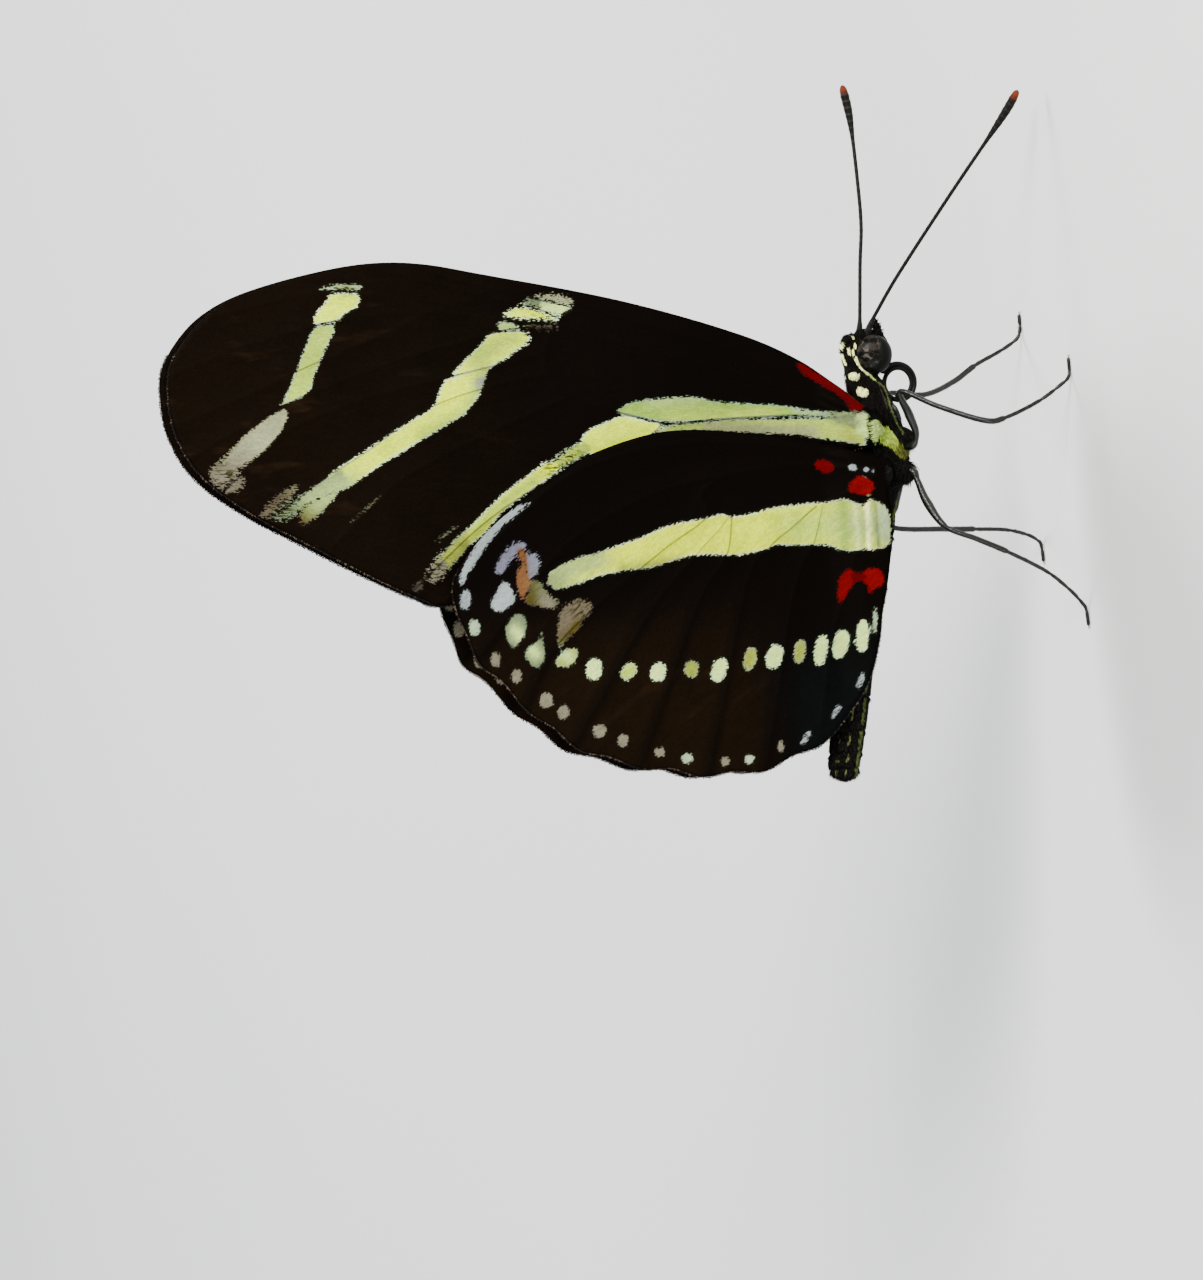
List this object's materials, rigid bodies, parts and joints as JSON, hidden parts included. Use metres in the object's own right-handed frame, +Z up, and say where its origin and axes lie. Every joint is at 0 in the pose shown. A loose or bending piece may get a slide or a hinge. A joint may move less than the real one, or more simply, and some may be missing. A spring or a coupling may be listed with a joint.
{
  "type": "zebra longwing butterfly, still model",
  "caption": "Life-size zebra longwing butterfly standing with its long narrow wings closed upright over the back, black with pale yellow bands, coiled tongue and forward feelers",
  "frame": {"origin": "on the floor, under the middle of the insect's whole outline", "axes": "+X towards the head, +Y towards its left side, +Z up"},
  "size_m": [0.0419, 0.0108, 0.0544],
  "materials": {
    "body_scales": "matt, short black scales and hair",
    "eye": "glossy, dark brown",
    "bare_cuticle": "satin, dark brown black",
    "wing_scales": "matt, brown black scales with pale yellow bands"
  },
  "bodies": {
    "root": {"thorax": "body_scales", "abdomen": "body_scales", "head": "body_scales", "palp_left": "body_scales", "palp_right": "body_scales", "eye_left": "eye", "eye_right": "eye", "proboscis": "bare_cuticle", "antenna_left": "bare_cuticle", "antenna_right": "bare_cuticle", "foreleg_left": "bare_cuticle", "foreleg_right": "bare_cuticle", "midleg_left": "bare_cuticle", "midleg_right": "bare_cuticle", "hindleg_left": "bare_cuticle", "hindleg_right": "bare_cuticle", "forewing_left": "wing_scales", "forewing_right": "wing_scales", "hindwing_left": "wing_scales", "hindwing_right": "wing_scales"}
  },
  "joints": []
}
